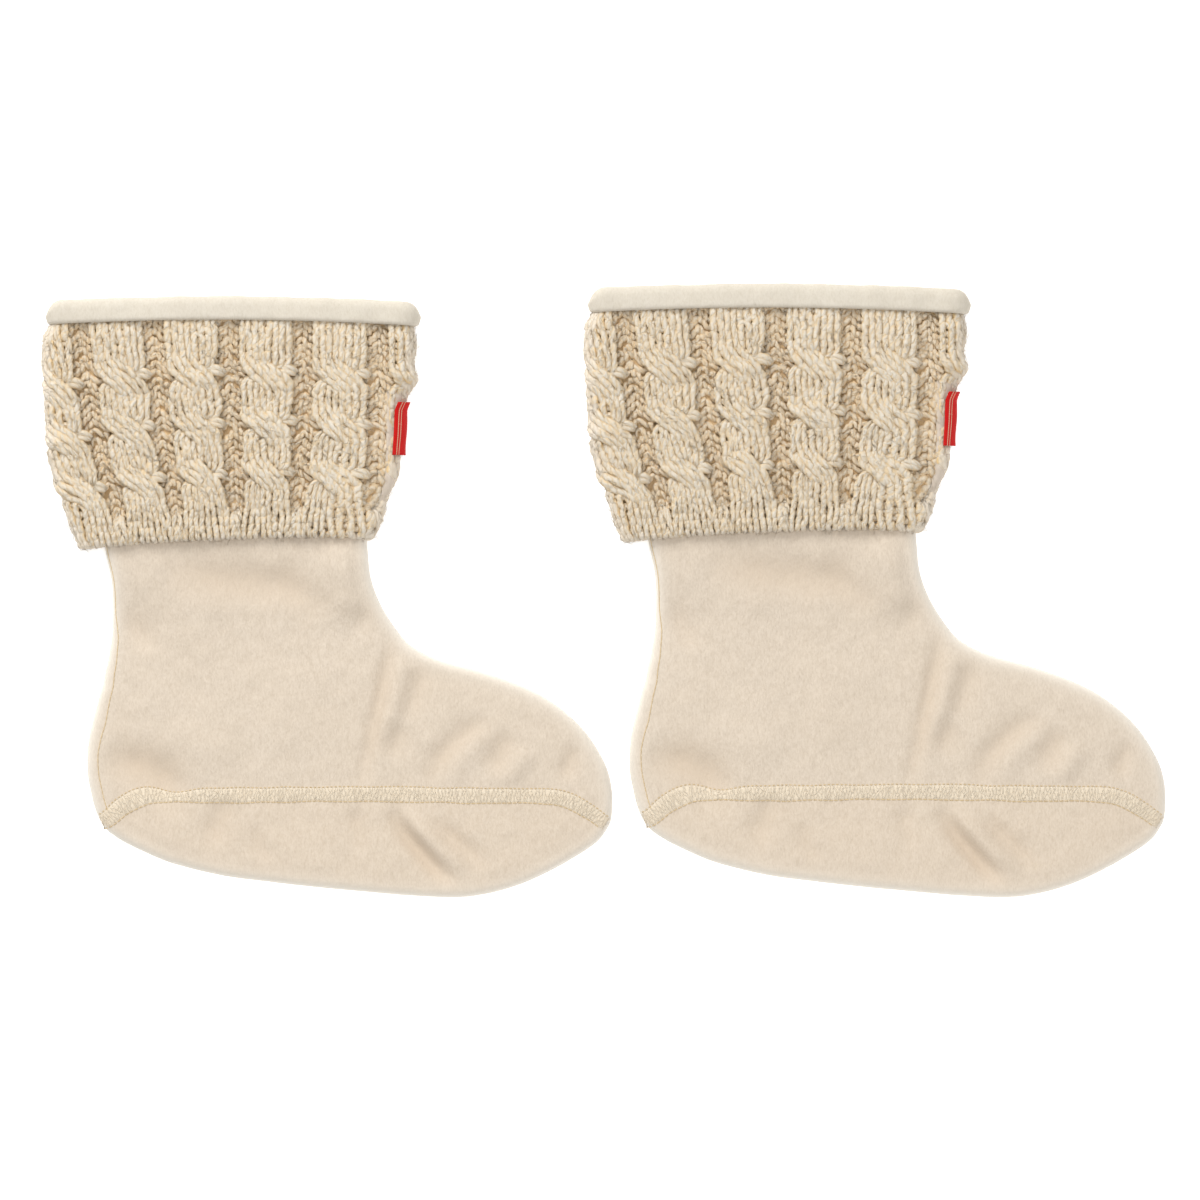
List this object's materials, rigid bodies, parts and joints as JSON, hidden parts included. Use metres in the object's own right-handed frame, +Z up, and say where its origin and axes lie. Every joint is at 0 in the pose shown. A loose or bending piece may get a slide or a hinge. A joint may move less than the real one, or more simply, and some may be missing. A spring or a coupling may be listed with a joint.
{
  "type": "pair of boot socks",
  "caption": "Fleece boot socks with cable-knit cuffs turned down from a plain band, laid flat side by side with toes pointing the same way.",
  "frame": {"origin": "on the surface that the pair lies on, at the middle of the pair's box", "axes": "+X towards the toes, +Y towards the cuffs, +Z up from the surface"},
  "size_m": [0.4056, 0.2202, 0.0149],
  "materials": {
    "fleece": "brushed cream fleece",
    "sole_fleece": "brushed cream fleece",
    "knit": "chunky oatmeal wool-blend knit",
    "tape": "woven red tape"
  },
  "bodies": {
    "root": {"left_upper": "fleece", "left_sole": "sole_fleece", "left_cuff": "knit", "left_tab": "tape", "right_upper": "fleece", "right_sole": "sole_fleece", "right_cuff": "knit", "right_tab": "tape"}
  },
  "joints": []
}
